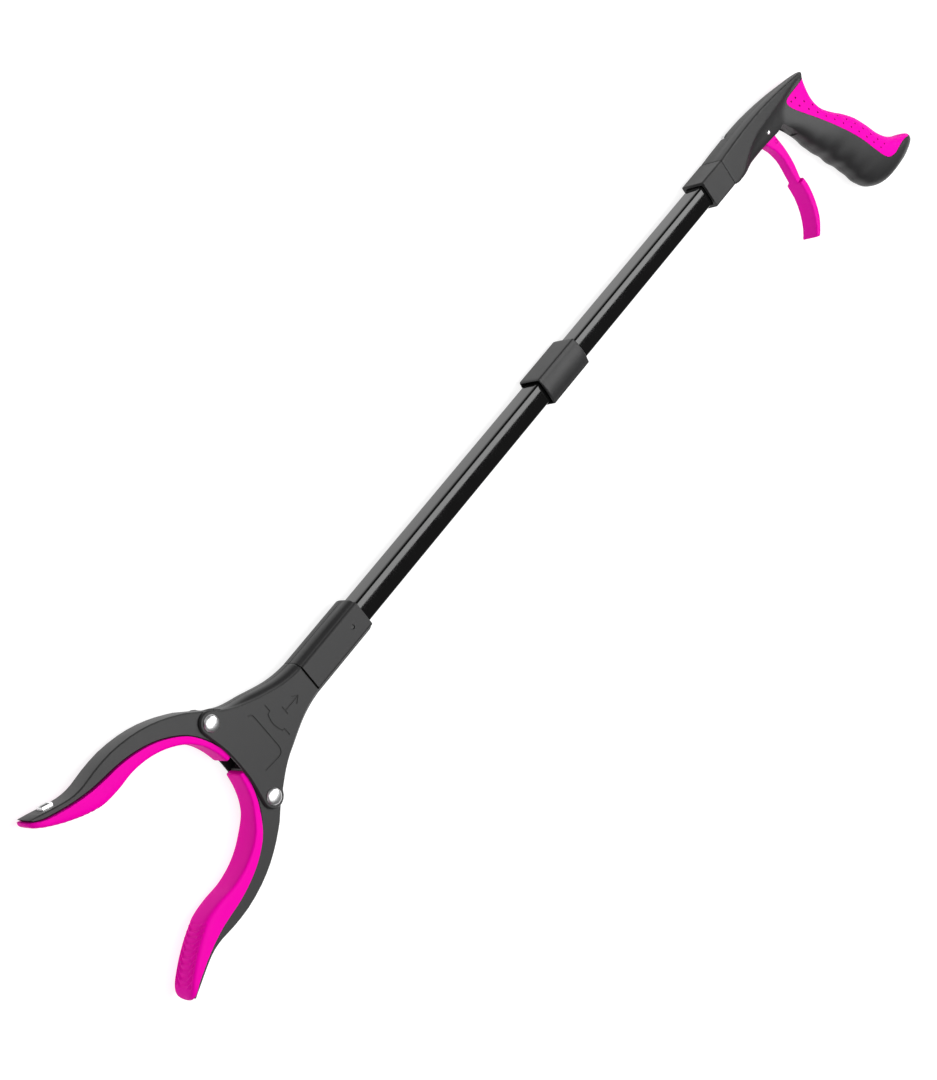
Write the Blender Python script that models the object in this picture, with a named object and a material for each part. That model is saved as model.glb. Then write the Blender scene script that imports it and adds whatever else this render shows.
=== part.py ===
"""Folding reacher grabber, lying on its side with the jaws open.

Millimetres in the shaft frame: X runs along the shaft towards the handle, from the front of the
handle's collar; Y points away from the trigger; Z is the thickness, from the middle plane. The last
step moves everything so that the world origin is at the bottom centre of the whole object.
"""
from math import atan2, cos, hypot, pi, radians, sin, tan

import bmesh
import bpy
from mathutils import Vector

MM = 0.001
GAP = 0.3                    # play left between touching pieces

# Shaft
TUBE = 14.5                  # outside of the square tube
TUBE_WALL = 1.2
TUBE_CORNER = 1.4
COLLAR = 19.6                # outside of the handle's collar
SEAM_X = 24.0                # where the collar meets the handle's shells
TUBE_END_X = 44.0            # the rear tube's end, inside the handle
FOLD_X = -192.0              # fold hinge, along the shaft
FOLD_Y = 6.3                 # fold hinge, towards the back of the shaft
SLEEVE = 19.2
SLEEVE_WALL = 1.05
SLEEVE_LENGTH = 40.0
SLEEVE_REACH = 7.0           # how far the sleeve covers the front tube
FRONT_TUBE_START = 3.5       # the tubes stop short of the fold hinge by these lengths
REAR_TUBE_START = 9.0
KNUCKLE = 1.9
CROSS_PIN = (20.0, -3.6)      # from the fold hinge, and from the middle of the tube
PIN = 1.0                    # radius of the small steel pins

# Head
COLLAR_END_X = -391.0        # the end of the neck collar that the tube goes into
SWIVEL_X = -442.0            # the plane that the head turns on
RIVET_X = -503.5
RIVET_Y = 28.0
HEAD_HALF = 9.4              # half the head's thickness, without its rivets
HEAD_PLATE = 1.8
JAW_HALF = 7.3
EAR = 7.0
SPIGOT = 5.5
SPIGOT_FLANGE = 7.0

# Trigger and jaw linkage
SQUEEZE = radians(30)
JAW_TURN = radians(31.5)
TRIGGER_PIN = (78.0, -5.8)
POST_RADIUS = 11.0           # from the trigger's pin to the post that draws the pull bar
POST_ANGLE = radians(25)
PULL = POST_RADIUS * (sin(POST_ANGLE + SQUEEZE) - sin(POST_ANGLE))
HORN = PULL / (2 * tan(JAW_TURN / 2))
YOKE_PIN_Y = RIVET_Y - HORN
YOKE_PIN_X = RIVET_X + 6.5 - PULL / 2
YOKE_PIN = 1.4
CABLE = 0.8

# Handle
GRIP_HALF = 12.0
SCREWS = ((54.0, 8.9), (112.0, -22.0), (140.0, -62.0), (150.0, -92.0))

origins = {}


def clear_scene():
    for item in list(bpy.data.objects):
        bpy.data.objects.remove(item, do_unlink=True)


def finish_material(name, colour, roughness, metallic=0.0):
    material = bpy.data.materials.new(name)
    material.use_nodes = True
    shader = material.node_tree.nodes["Principled BSDF"]
    shader.inputs["Base Color"].default_value = (*colour, 1.0)
    shader.inputs["Roughness"].default_value = roughness
    shader.inputs["Metallic"].default_value = metallic
    return material


def axis_empty(name, position, parent=None):
    """An empty on a joint's axis, which carries the pieces that the joint moves."""
    empty = bpy.data.objects.new(name, None)
    bpy.context.collection.objects.link(empty)
    origins[empty.name] = Vector(position)
    if parent:
        empty.parent = parent
        position = origins[empty.name] - origins[parent.name]
    empty.location = Vector(position) * MM
    return empty


def add_mesh(name, mesh_data, material, carrier):
    bmesh.ops.recalc_face_normals(mesh_data, faces=mesh_data.faces)
    bmesh.ops.scale(mesh_data, vec=(MM, MM, MM), verts=mesh_data.verts)
    mesh = bpy.data.meshes.new(name)
    mesh_data.to_mesh(mesh)
    mesh_data.free()
    mesh.shade_smooth()
    mesh.set_sharp_from_angle(angle=radians(35))
    item = bpy.data.objects.new(name, mesh)
    bpy.context.collection.objects.link(item)
    item.parent = carrier
    item.location = -origins[carrier.name] * MM
    item.data.materials.append(material)
    return item


def loft(name, rings, material, carrier, closed=False):
    """A closed solid through rings of equal length; a closed loft joins its last ring to its first."""
    mesh_data = bmesh.new()
    loops = [[mesh_data.verts.new(point) for point in ring] for ring in rings]
    count = len(rings[0])
    pairs = list(zip(loops, loops[1:]))
    if closed:
        pairs.append((loops[-1], loops[0]))
    for low, high in pairs:
        for i in range(count):
            j = (i + 1) % count
            mesh_data.faces.new((low[i], low[j], high[j], high[i]))
    if not closed:
        mesh_data.faces.new(loops[0])
        mesh_data.faces.new(loops[-1])
    return add_mesh(name, mesh_data, material, carrier)


def prism(name, outline, low, high, material, carrier):
    return slab(name, outline, [(low, 0), (high, 0)], material, carrier)


def slab(name, outline, levels, material, carrier):
    """An XY outline stacked up Z; each level is a height and how far the outline is drawn in there."""
    rings = [[(x, y, z) for x, y in drawn_in(outline, inset)] for z, inset in levels]
    return loft(name, rings, material, carrier)


def block(name, low, high, material, carrier):
    outline = [(low[0], low[1]), (high[0], low[1]), (high[0], high[1]), (low[0], high[1])]
    return prism(name, outline, low[2], high[2], material, carrier)


def circle(radius, sides):
    return [(radius * cos(2 * pi * i / sides), radius * sin(2 * pi * i / sides)) for i in range(sides)]


def turned_z(name, centre, profile, material, carrier, sides=24):
    """A turned piece about a line along Z, from a list of heights and radii."""
    rings = [[(centre[0] + a, centre[1] + b, z) for a, b in circle(r, sides)] for z, r in profile]
    return loft(name, rings, material, carrier)


def turned_x(name, profile, material, carrier, sides=20):
    """A turned piece about a line along the shaft, from a list of lengths and radii."""
    rings = [[(x, a, b) for a, b in circle(r, sides)] for x, r in profile]
    return loft(name, rings, material, carrier)


def rounded_square(half_y, half_z, corner, steps=3):
    points = []
    for quarter, (sy, sz) in enumerate(((1, 1), (-1, 1), (-1, -1), (1, -1))):
        for i in range(steps + 1):
            angle = pi / 2 * (quarter + i / steps)
            points.append((sy * (half_y - corner) + corner * cos(angle),
                           sz * (half_z - corner) + corner * sin(angle)))
    return points


def square_tube(name, start, end, outside, inside, corner, material, carrier):
    outer = rounded_square(outside / 2, outside / 2, corner)
    inner = rounded_square(inside / 2, inside / 2, corner * 0.6)
    rings = [[(x, y, z) for y, z in section]
             for x, section in ((start, outer), (end, outer), (end, inner), (start, inner))]
    return loft(name, rings, material, carrier, closed=True)


def square_bar(name, start, end, half_y, half_z, corner, material, carrier):
    section = rounded_square(half_y, half_z, corner)
    return loft(name, [[(x, y, z) for y, z in section] for x in (start, end)], material, carrier)


def curve(points, steps=3):
    """A smooth line through the points (Catmull-Rom)."""
    ends = [points[0], *points, points[-1]]
    line = []
    for a, b, c, d in zip(ends, ends[1:], ends[2:], ends[3:]):
        for i in range(steps):
            t = i / steps
            line.append(tuple(0.5 * (2 * q + (r - p) * t + (2 * p - 5 * q + 4 * r - s) * t * t
                                     + (3 * q - p - 3 * r + s) * t ** 3)
                              for p, q, r, s in zip(a, b, c, d)))
    return line + [points[-1]]


def arc(centre, radius, start, end, steps):
    angles = [radians(start + (end - start) * i / steps) for i in range(steps + 1)]
    return [(centre[0] + radius * cos(a), centre[1] + radius * sin(a)) for a in angles]


def drawn_in(outline, inset):
    """The outline moved inwards by the inset, corner by corner."""
    if not inset:
        return outline
    area = sum(a[0] * b[1] - b[0] * a[1] for a, b in zip(outline, outline[1:] + outline[:1]))
    side = 1 if area > 0 else -1
    moved = []
    for before, here, after in zip(outline[-1:] + outline[:-1], outline, outline[1:] + outline[:1]):
        one = unit(here[0] - before[0], here[1] - before[1])
        two = unit(after[0] - here[0], after[1] - here[1])
        nx, ny = -(one[1] + two[1]) * side, (one[0] + two[0]) * side
        length = max(hypot(nx, ny), 1.2)
        stretch = 2 * inset / length ** 2
        moved.append((here[0] + nx * stretch, here[1] + ny * stretch))
    return moved


def unit(x, y):
    length = hypot(x, y)
    return x / length, y / length


def mirrored(outline, side):
    return outline if side > 0 else [(x, -y) for x, y in reversed(outline)]


def turned_about(point, centre, angle):
    x, y = point[0] - centre[0], point[1] - centre[1]
    return (centre[0] + x * cos(angle) - y * sin(angle), centre[1] + x * sin(angle) + y * cos(angle))


def slot_outline(start, end, half_width):
    """A round-ended slot between two points."""
    heading = atan2(end[1] - start[1], end[0] - start[0]) * 180 / pi
    return (arc(end, half_width, heading - 90, heading + 90, 6)
            + arc(start, half_width, heading + 90, heading + 270, 6))


def boolean(target, tool, operation):
    modifier = target.modifiers.new(operation.lower(), "BOOLEAN")
    modifier.operation = operation
    modifier.object = tool
    modifier.solver = "EXACT"
    tool.hide_render = True
    tool.display_type = "WIRE"


def cut(target, *tools):
    for tool in tools:
        boolean(target, tool, "DIFFERENCE")


def fuse(target, *tools):
    for tool in tools:
        boolean(target, tool, "UNION")


# ---------------------------------------------------------------- shaft and fold hinge

def make_tubes(black, handle, front):
    inside = TUBE - 2 * TUBE_WALL
    square_tube("rear_tube", FOLD_X + REAR_TUBE_START, TUBE_END_X, TUBE, inside, TUBE_CORNER,
                black, handle)
    square_tube("front_tube", COLLAR_END_X - 20, FOLD_X - FRONT_TUBE_START, TUBE, inside,
                TUBE_CORNER, black, front)


def make_sleeve(plastic, carrier):
    start = FOLD_X - SLEEVE_REACH
    square_tube("sliding_sleeve", start, start + SLEEVE_LENGTH, SLEEVE, SLEEVE - 2 * SLEEVE_WALL, 2.2,
                plastic, carrier)


def make_fold_blocks(plastic, steel, handle, front):
    """The two plugs in the tube ends: the rear one has two ears, the front one a tongue between."""
    top = FOLD_Y - GAP
    inner = TUBE / 2 - TUBE_WALL - GAP
    tongue = 2.8
    for name, carrier, side, start in (("fold_rear_block", handle, 1, REAR_TUBE_START),
                                       ("fold_front_block", front, -1, FRONT_TUBE_START)):
        near, mouth, far = (FOLD_X + side * d for d in (GAP, start - GAP, 32))
        body = block(name, (min(near, far), -inner, -inner), (max(near, far), inner, inner),
                     plastic, carrier)
        shoulder = block(name + "_shoulder", (min(near, mouth), -TUBE / 2 + GAP, -TUBE / 2 + GAP),
                         (max(near, mouth), top, TUBE / 2 - GAP), plastic, carrier)
        fuse(body, shoulder)
        if side > 0:
            knuckles = ((tongue + GAP, TUBE / 2 - GAP), (-TUBE / 2 + GAP, -tongue - GAP))
            notches = ((-tongue - GAP, tongue + GAP),)
        else:
            knuckles = ((-tongue, tongue),)
            notches = ((tongue, TUBE), (-TUBE, -tongue))
        for i, (low, high) in enumerate(notches):
            reach = KNUCKLE + GAP + 0.2
            cut(body, turned_z(f"{name}_notch_{i}", (FOLD_X, FOLD_Y), [(low, reach), (high, reach)],
                               plastic, carrier))
        for i, (low, high) in enumerate(knuckles):
            fuse(body, turned_z(f"{name}_knuckle_{i}", (FOLD_X, FOLD_Y),
                                [(low, KNUCKLE), (high, KNUCKLE)], plastic, carrier))
            web = slot_outline((FOLD_X + side * 0.6, FOLD_Y - 0.9), (FOLD_X + side * 4, FOLD_Y - 3), 1.0)
            fuse(body, prism(f"{name}_web_{i}", web, low, high, plastic, carrier))
        bore = turned_z(name + "_pin_bore", (FOLD_X, FOLD_Y), [(-TUBE, PIN + GAP), (TUBE, PIN + GAP)],
                        plastic, carrier, 16)
        cable_bore = turned_x(name + "_cable_bore", [(FOLD_X - 40, 1.5), (FOLD_X + 40, 1.5)],
                              plastic, carrier, 12)
        cross_at = (FOLD_X + side * CROSS_PIN[0], CROSS_PIN[1])
        cross_bore = turned_z(name + "_cross_bore", cross_at, [(-TUBE, PIN + GAP), (TUBE, PIN + GAP)],
                              plastic, carrier, 12)
        cut(body, bore, cable_bore, cross_bore)
        tube = bpy.data.objects["rear_tube" if side > 0 else "front_tube"]
        cut(tube, cross_bore)
        turned_z(name + "_cross_pin", cross_at, [(-6.9, PIN), (6.9, PIN)], steel, carrier, 12)
    turned_z("fold_hinge_pin", (FOLD_X, FOLD_Y), [(-6.9, PIN), (6.9, PIN)], steel, handle, 16)


# ---------------------------------------------------------------- head

def head_outline():
    """Half of the head plate, from the swivel plane round the rivet to the middle of the mouth."""
    flank = curve([(SWIVEL_X - GAP, 8.8), (-450, 9.6), (-459, 11.6), (-469, 15.2), (-478, 19.0),
                   (-487, 23.6), (-496.5, 30.0)])
    ear = arc((RIVET_X, RIVET_Y), EAR, 40, 195, 8)
    mouth = curve([(-508.6, 18.5), (-507.2, 10.0), (-506.8, 0.0)], 2)
    return flank + ear + mouth


def make_head_shells(plastic, carrier):
    half = head_outline()
    outline = half + [(x, -y) for x, y in reversed(half[:-1])]
    hollow_half = [(-456.5, 7.8)] + curve([(-460, 8.6), (-469, 12.6), (-478, 16.8), (-486, 20.8),
                                           (-493, 25.0)]) + [(-493, 42), (-520, 42), (-520, 0)]
    hollow = hollow_half + [(x, -y) for x, y in reversed(hollow_half[:-1])]
    inside = HEAD_HALF - HEAD_PLATE
    for name, side in (("head_front_shell", 1), ("head_rear_shell", -1)):
        levels = [(side * z, inset) for z, inset in ((GAP / 2, 0), (HEAD_HALF - 1, 0), (HEAD_HALF, 0.8))]
        shell = slab(name, outline, levels, plastic, carrier)
        room = prism(name + "_room", hollow, -side, side * inside, plastic, carrier)
        neck_bore = turned_x(name + "_neck_bore", [(SWIVEL_X + 2, SPIGOT + GAP), (-453, SPIGOT + GAP)],
                             plastic, carrier, 24)
        flange_room = turned_x(name + "_flange_room", [(-451.7, SPIGOT_FLANGE + GAP),
                                                       (-458, SPIGOT_FLANGE + GAP)], plastic, carrier, 24)
        cut(shell, room, neck_bore, flange_room)
        for y in (RIVET_Y, -RIVET_Y):
            cut(shell, turned_z(f"{name}_rivet_bore_{y:.0f}", (RIVET_X, y), [(-20, 2.8), (20, 2.8)],
                                plastic, carrier, 20))


def make_rivets(chrome, carrier):
    head = HEAD_HALF + GAP
    profile = [(-head - 1.9, 1.2), (-head - 1.7, 2.6), (-head - 1.1, 3.9), (-head - 0.4, 4.5), (-head, 4.5),
               (-head, 2.5), (head, 2.5), (head, 4.5), (head + 0.4, 4.5), (head + 1.1, 3.9),
               (head + 1.7, 2.6), (head + 1.9, 1.2)]
    for name, y in (("upper_jaw_rivet", RIVET_Y), ("lower_jaw_rivet", -RIVET_Y)):
        turned_z(name, (RIVET_X, y), profile, chrome, carrier)


def make_neck_collar(plastic, steel, carrier):
    """The collar on the front tube, with the round spigot that the head swivels on."""
    collar = square_bar("neck_collar", SWIVEL_X + GAP, COLLAR_END_X, 8.8, HEAD_HALF, 1.6, plastic, carrier)
    spigot = turned_x("neck_spigot", [(SWIVEL_X + 4, SPIGOT), (-452, SPIGOT), (-452, SPIGOT_FLANGE),
                                      (-455, SPIGOT_FLANGE)], plastic, carrier, 24)
    fuse(collar, spigot)
    socket_half = TUBE / 2 + GAP
    socket = square_bar("neck_socket", COLLAR_END_X - 20.5, COLLAR_END_X + 5, socket_half, socket_half, 1.4,
                        plastic, carrier)
    passage = turned_x("neck_passage", [(-460, 2.0), (COLLAR_END_X, 2.0)], plastic, carrier, 12)
    pin_bore = turned_z("neck_pin_bore", (COLLAR_END_X - 11, 0), [(-8.9, 1.4), (20, 1.4)],
                        plastic, carrier, 12)
    cut(collar, socket, passage, pin_bore)
    cut(bpy.data.objects["front_tube"], pin_bore)
    turned_z("neck_lock_pin", (COLLAR_END_X - 11, 0), [(3.0, 1.1), (8.9, 1.1)], steel, carrier, 12)


def jaw_outer_line():
    return curve([(-509.5, 42.0), (-518.4, 47.8), (-529, 53.2), (-541, 57.2), (-555, 59.6), (-568, 59.6),
                  (-577, 58.8), (-584, 59.2), (-590, 60.8), (-597, 63.4), (-604, 66.2)], 2)


def jaw_seam_line():
    """Where the plastic frame meets the rubber pad, from the tip to the inner end."""
    return curve([(-608.5, 66.0), (-604, 63.0), (-596, 59.8), (-587, 56.8), (-576, 54.2), (-567, 53.0),
                  (-557, 52.0), (-546, 49.6), (-535, 45.6), (-525, 39.6), (-517, 32.4), (-511.6, 24.0),
                  (-508.0, 15.0), (-505.8, 6.0)], 2)


def pad_mouth_line():
    """The pad's gripping face, from the inner end to the tip."""
    return curve([(-509.6, 5.2), (-511.4, 14.0), (-515.0, 22.6), (-521.0, 30.0), (-530, 36.6), (-541, 41.2),
                  (-553, 43.2), (-565, 42.6), (-576, 43.2), (-585, 46.4), (-595, 52.0), (-604, 58.2),
                  (-610.0, 63.4)], 2)


def make_jaws(plastic, rubber, chrome, carriers):
    pivot = (RIVET_X, RIVET_Y)
    yoke_pin_path = [turned_about((YOKE_PIN_X + PULL * share, YOKE_PIN_Y), pivot, -JAW_TURN * share)
                     for share in (0, 1)]
    horn = arc(yoke_pin_path[1], 3.5, -60, 50, 4)
    frame = (arc(pivot, EAR - 0.3, 0, 60, 4) + jaw_outer_line() + [(-609.5, 68.2)] + jaw_seam_line()
             + [(-505.2, 5.2), (-500.2, 5.2), (-500.2, 11.0)] + horn)
    pad = (drawn_line(jaw_seam_line()) + pad_mouth_line() + [(-612.0, 67.0)])
    for name, side in (("upper_jaw", 1), ("lower_jaw", -1)):
        carrier = carriers[side]
        body = slab(name + "_frame", mirrored(frame, side),
                    [(-JAW_HALF, 0.6), (-JAW_HALF + 0.8, 0), (JAW_HALF - 0.8, 0), (JAW_HALF, 0.6)],
                    plastic, carrier)
        slit = prism(name + "_slit", mirrored([(-503.6, 4), (-503.6, 20), (-500, 24), (-470, 24),
                                               (-470, 4)], side), -2.7, 2.7, plastic, carrier)
        slot = prism(name + "_slot", mirrored(slot_outline(*yoke_pin_path, YOKE_PIN + 0.35), side),
                     -20, 20, plastic, carrier)
        bore = turned_z(name + "_bore", (RIVET_X, side * RIVET_Y), [(-20, 2.8), (20, 2.8)],
                        plastic, carrier, 20)
        seat = slab(name + "_magnet_seat", mirrored(magnet_outline(-GAP), side),
                    [(-3.6, 0), (3.6, 0)], plastic, carrier)
        cut(body, slit, slot, bore)
        if side > 0:
            cut(body, seat)
        else:
            bpy.data.objects.remove(seat)
        slab(name + "_pad", mirrored(pad, side),
             [(-JAW_HALF, 0.8), (-JAW_HALF + 1.2, 0), (JAW_HALF - 1.2, 0), (JAW_HALF, 0.8)],
             rubber, carrier)
    slab("tip_magnet", magnet_outline(0), [(-3.2, 0.3), (-2.9, 0), (2.9, 0), (3.2, 0.3)], chrome, carriers[1])


def magnet_outline(grow):
    """A small bar let into the outer side of the upper jaw's tip."""
    along = unit(-604 + 590, 66.2 - 60.8)
    across = (along[1], -along[0])
    centre = (-597.0 - across[0] * 1.0, 63.2 - across[1] * 1.0)
    points = []
    for a, b in ((-1, -1), (1, -1), (1, 1), (-1, 1)):
        length, depth = a * (3.4 - grow), b * (1.9 - grow)
        points.append((centre[0] + along[0] * length + across[0] * depth,
                       centre[1] + along[1] * length + across[1] * depth))
    return points


def drawn_line(line):
    """The same line, moved off the frame by the gap, towards the mouth and backwards in order."""
    moved = []
    for here, after in zip(line, line[1:] + [line[-1]]):
        if after == here:
            after = (2 * here[0] - line[-2][0], 2 * here[1] - line[-2][1])
        dx, dy = unit(after[0] - here[0], after[1] - here[1])
        moved.append((here[0] + dy * GAP, here[1] - dx * GAP))
    return moved


def make_yoke(plastic, steel, carrier):
    """The V-shaped crosshead, which draws both jaw horns back with the cable."""
    tip = (YOKE_PIN_X, YOKE_PIN_Y)
    half = ([(-487.0, 0.0), (-488.5, 6.0)] + arc(tip, 2.6, 215, 35, 6) + [(-480.5, 5.0), (-478.0, 4.6)])
    outline = half + [(x, -y) for x, y in reversed(half[1:])]
    yoke = prism("crosshead", outline, -2.3, 2.3, plastic, carrier)
    hub = turned_x("crosshead_hub", [(-487, 4.0), (-478, 4.0)], plastic, carrier, 20)
    fuse(yoke, hub)
    cable_room = turned_x("crosshead_cable_room", [(-484, 1.9), (-470, 1.9)], plastic, carrier, 12)
    cut(yoke, cable_room)
    for name, side in (("upper_crosshead_pin", 1), ("lower_crosshead_pin", -1)):
        bore = turned_z(name + "_bore", (tip[0], side * tip[1]), [(-9, YOKE_PIN + 0.1), (9, YOKE_PIN + 0.1)],
                        plastic, carrier, 14)
        cut(yoke, bore)
        turned_z(name, (tip[0], side * tip[1]), [(-7.0, YOKE_PIN), (7.0, YOKE_PIN)], steel, carrier, 14)
    turned_x("front_cable_ferrule", [(-483.7, 1.6), (-477, 1.6)], steel, carrier, 12)
    turned_x("front_cable", [(-476.7, CABLE), (FOLD_X - 8, CABLE)], steel, carrier, 8)


def make_spring(steel, carrier):
    """The return spring, between the crosshead and the flange of the neck spigot."""
    start, end, radius, wire, turns = -477.4, -456.0, 4.2, 0.5, 6
    steps = turns * 12
    sides = 5
    rings = []
    for i in range(steps + 1):
        angle = 2 * pi * i / 12
        centre = Vector((start + (end - start) * i / steps, radius * cos(angle), radius * sin(angle)))
        out = Vector((0, cos(angle), sin(angle)))
        rings.append([tuple(centre + out * wire * cos(2 * pi * k / sides)
                            + Vector((wire * sin(2 * pi * k / sides), 0, 0))) for k in range(sides)])
    loft("return_spring", rings, steel, carrier)


# ---------------------------------------------------------------- handle

def grip_sections(side):
    """The grip from the barrel to the heel; side 0 gives it whole, 1 and -1 give its halves."""
    stations = (((138.0, -0.6), (84.0, -3.0), 5.5), ((135.8, -6.8), (92.0, -14.5), 7.5),
                ((134.0, -17.0), (100.0, -21.0), 9.5), ((139.5, -26.5), (105.0, -33.0), 11.0),
                ((149.0, -34.5), (108.5, -42.0), 12.0), ((158.0, -43.5), (113.0, -50.0), 12.0),
                ((166.0, -54.0), (118.5, -59.0), 12.0), ((171.5, -66.0), (123.5, -71.0), 12.0),
                ((177.0, -78.5), (128.5, -82.5), 11.8), ((185.0, -85.5), (134.0, -92.5), 11.4),
                ((194.0, -90.0), (143.0, -100.0), 10.4), ((200.5, -94.0), (157.0, -103.8), 9.0),
                ((202.2, -98.0), (184.0, -103.4), 5.0))
    base = GAP / 2 + 0.05
    squareness = 2 / 2.7
    steps = 8
    rings = []
    for palm, finger, half in stations:
        ring = []
        for i in range(steps + 1):
            angle = pi * i / steps
            reach = abs(cos(angle)) ** squareness * (1 if i < steps / 2 else -1)
            share = (1 - reach) / 2
            height = base + (half * GRIP_HALF / 12 - base) * sin(angle) ** squareness
            ring.append((palm[0] + (finger[0] - palm[0]) * share, palm[1] + (finger[1] - palm[1]) * share,
                         height))
        if side:
            ring = [(x, y, side * z) for x, y, z in ring]
        else:
            ring += [(x, y, -z) for x, y, z in reversed(ring)]
        rings.append(ring)
    return rings


def rubber_region():
    """The part of the grip that the soft palm cover takes, from the point of the handle to the heel."""
    edge = curve([(139.5, -1.2), (121.0, -1.0), (110.0, -1.6), (108.8, -6.0), (113.5, -14.2),
                  (125.0, -29.7), (136.5, -46.0), (146.3, -61.2), (153.7, -76.4), (160.3, -87.0),
                  (168.6, -90.5), (178.6, -90.2), (188.0, -91.0), (196.8, -93.6)], 2)
    return edge + [(204.0, -95.0), (225.0, -90.0), (225.0, -1.2)]


def barrel_sections(side):
    """The handle's barrel: square at the seam, drawn out to a thin point above the palm."""
    stations = ((SEAM_X + GAP, -9.8, 9.8, 9.8), (36, -11.0, 10.2, 9.6), (50, -11.5, 10.5, 9.2),
                (63, -11.4, 10.7, 8.7), (78, -13.0, 10.4, 8.1), (92, -15.0, 9.4, 7.2),
                (106, -6.0, 7.8, 6.0), (120, -3.0, 5.8, 4.4), (131, -1.6, 4.0, 3.0), (137.5, -0.2, 2.4, 1.6))
    rings = []
    for x, low, high, half in stations:
        chamfer = min(1.6, half * 0.4)
        rings.append([(x, low, side * GAP / 2), (x, low, side * (half - chamfer)),
                      (x, low + chamfer, side * half), (x, high - chamfer, side * half),
                      (x, high, side * (half - chamfer)), (x, high, side * GAP / 2)])
    return rings


def make_handle(plastic, rubber, steel, chrome, carrier):
    trigger_room = [(64.0, -1.0), (60.5, -30), (96, -30), (104.0, -24.5), (101.0, -17.0), (88.0, 2.4),
                    (78.0, 4.6), (68.0, 2.6)]
    for name, side in (("handle_front_shell", 1), ("handle_rear_shell", -1)):
        shell = loft(name, barrel_sections(side), plastic, carrier)
        fuse(shell, loft(name + "_grip", grip_sections(side), plastic, carrier))
        tube_room = square_bar(name + "_tube_room", 10, 44.5, TUBE / 2 + GAP, TUBE / 2 + GAP, 1.2,
                               plastic, carrier)
        barrel_room = block(name + "_barrel_room", (44, -8.6, -4.6), (96, 7.2, 4.6), plastic, carrier)
        room = prism(name + "_trigger_room", trigger_room, -4.9, 4.9, plastic, carrier)
        pin_bore = turned_z(name + "_pin_bore", TRIGGER_PIN, [(-30, 1.8), (30, 1.8)], plastic, carrier, 16)
        cover_room = prism(name + "_cover_room", drawn_in(rubber_region(), -GAP), -20, 20, plastic, carrier)
        cut(shell, cover_room, tube_room, barrel_room, room, pin_bore)
        for i, (x, y) in enumerate(SCREWS):
            bore = turned_z(f"{name}_screw_bore_{i}", (x, y),
                            [(-30, 3.3), (-5.2, 3.3), (-5.2, 1.7), (3.5, 1.7)], plastic, carrier, 16)
            cut(shell, bore)
    cover = loft("palm_cover", grip_sections(0), rubber, carrier)
    boolean(cover, prism("palm_cover_region", rubber_region(), -20, 20, rubber, carrier), "INTERSECT")
    turned_z("trigger_pin", TRIGGER_PIN, [(-7.9, 1.5), (7.9, 1.5)], chrome, carrier, 16)
    for i, (x, y) in enumerate(SCREWS):
        turned_z(f"handle_screw_{i + 1}", (x, y), [(-8.3, 2.4), (-8.3, 2.9), (-5.6, 2.9), (-5.6, 1.3),
                                                   (3.0, 1.3)], steel, carrier, 16)


def make_handle_collar(plastic, carrier):
    half = COLLAR / 2
    collar = square_bar("handle_collar", 0, SEAM_X, half, half, 1.2, plastic, carrier)
    room = square_bar("handle_collar_room", -5, SEAM_X + 5, TUBE / 2 + GAP, TUBE / 2 + GAP, 1.4,
                      plastic, carrier)
    cut(collar, room)


def make_trigger(rubber, steel, trigger_carrier):
    front = curve([(71.8, -8.0), (73.6, -13.2), (77.2, -19.6), (79.3, -26.0), (80.2, -32.0), (79.6, -41.0),
                   (79.2, -48.6), (79.0, -58.9), (76.0, -69.7), (70.7, -78.9), (65.0, -84.5)], 2)
    back = curve([(69.0, -86.2), (75.8, -79.8), (80.6, -72.0), (83.8, -62.0), (84.9, -53.0), (84.4, -47.5),
                  (86.4, -38.0), (86.8, -30.0), (86.4, -22.0), (85.0, -13.5), (84.4, -7.0)], 2)
    crown = arc(TRIGGER_PIN, 6.2, 5, 175, 8)
    stem = slab("trigger", front + back + crown, [(-4.0, 0.8), (-3.4, 0), (3.4, 0), (4.0, 0.8)], rubber,
                trigger_carrier)
    pad_outline = ([point for point in front if point[1] < -47] + [point for point in back if point[1] < -47])
    pad = slab("trigger_pad", pad_outline, [(-6.8, 0.8), (-6.0, 0), (6.0, 0), (6.8, 0.8)], rubber,
               trigger_carrier)
    fuse(stem, pad)
    slit = prism("trigger_slit", [(79.2, -21.7), (92, -21.7), (92, 6), (66, 6), (66, -5), (75.2, -11.5),
                                  (78.0, -17.5), (78.2, -20.2)], -1.7, 1.7, rubber, trigger_carrier)
    bore = turned_z("trigger_bore", TRIGGER_PIN, [(-20, 1.8), (20, 1.8)], rubber, trigger_carrier, 16)
    post = (TRIGGER_PIN[0] + POST_RADIUS * sin(POST_ANGLE), TRIGGER_PIN[1] - POST_RADIUS * cos(POST_ANGLE))
    post_bore = turned_z("trigger_post_bore", post, [(-20, 1.3), (20, 1.3)], rubber, trigger_carrier, 14)
    cut(stem, slit, bore, post_bore)
    turned_z("trigger_post", post, [(-3.7, 1.1), (3.7, 1.1)], steel, trigger_carrier, 14)
    return post


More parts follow.
